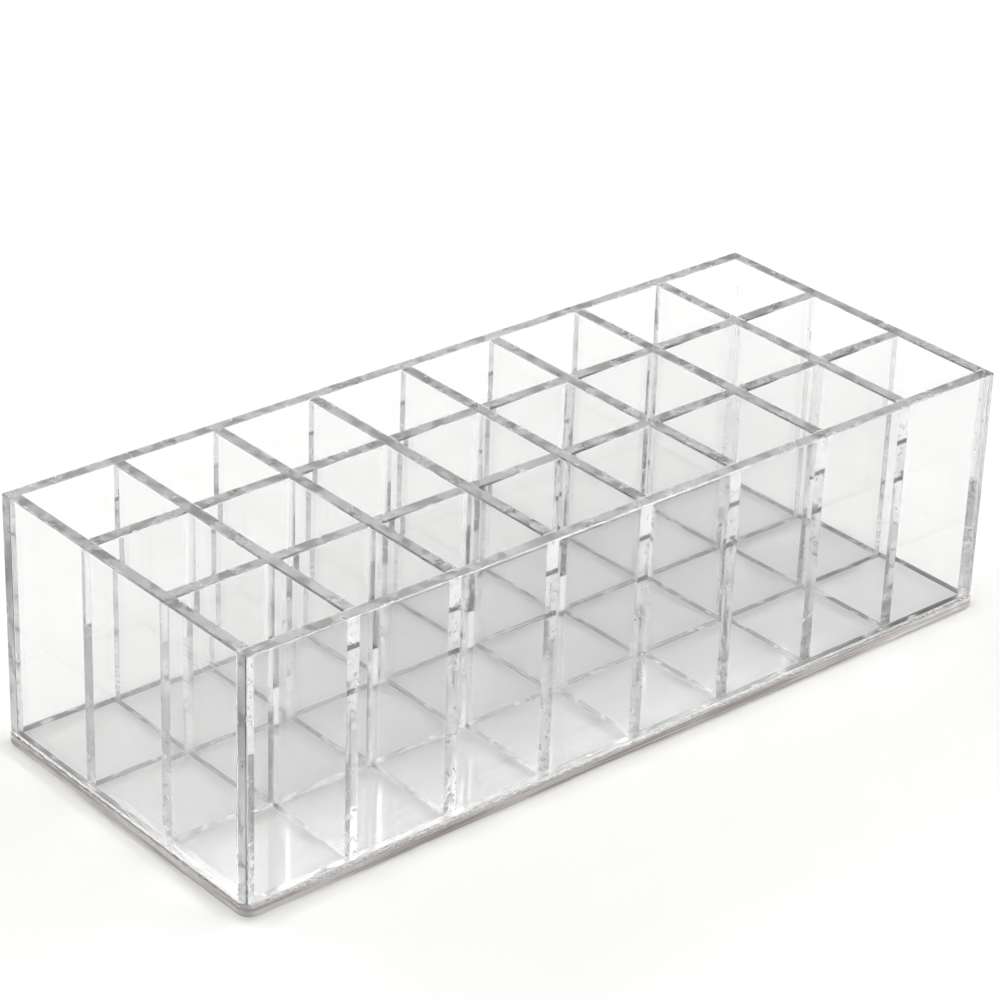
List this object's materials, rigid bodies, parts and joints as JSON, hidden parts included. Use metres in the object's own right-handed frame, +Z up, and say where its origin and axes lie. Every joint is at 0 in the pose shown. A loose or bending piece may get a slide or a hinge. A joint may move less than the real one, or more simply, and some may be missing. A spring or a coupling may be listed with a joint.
{
  "type": "vanity organizer",
  "caption": "Clear acrylic vanity organizer: a long open-topped box on a thin base plate, split by a slotted divider grid into square compartments for upright cosmetics.",
  "frame": {"origin": "middle of the underside of the base plate, on the surface that it stands on", "axes": "+X along the length of the box, +Z up, the front wall towards -Y"},
  "size_m": [0.2366, 0.0964, 0.067],
  "materials": {
    "base_acrylic": "clear cast acrylic sheet, polished",
    "wall_acrylic": "clear cast acrylic sheet, polished",
    "divider_acrylic": "clear cast acrylic sheet, polished"
  },
  "bodies": {
    "root": {"base_plate": "base_acrylic", "front_wall": "wall_acrylic", "back_wall": "wall_acrylic", "left_end_wall": "wall_acrylic", "right_end_wall": "wall_acrylic", "long_divider_front": "divider_acrylic", "long_divider_rear": "divider_acrylic", "cross_divider_1": "divider_acrylic", "cross_divider_2": "divider_acrylic", "cross_divider_3": "divider_acrylic", "cross_divider_4": "divider_acrylic", "cross_divider_5": "divider_acrylic", "cross_divider_6": "divider_acrylic", "cross_divider_7": "divider_acrylic"}
  },
  "joints": []
}
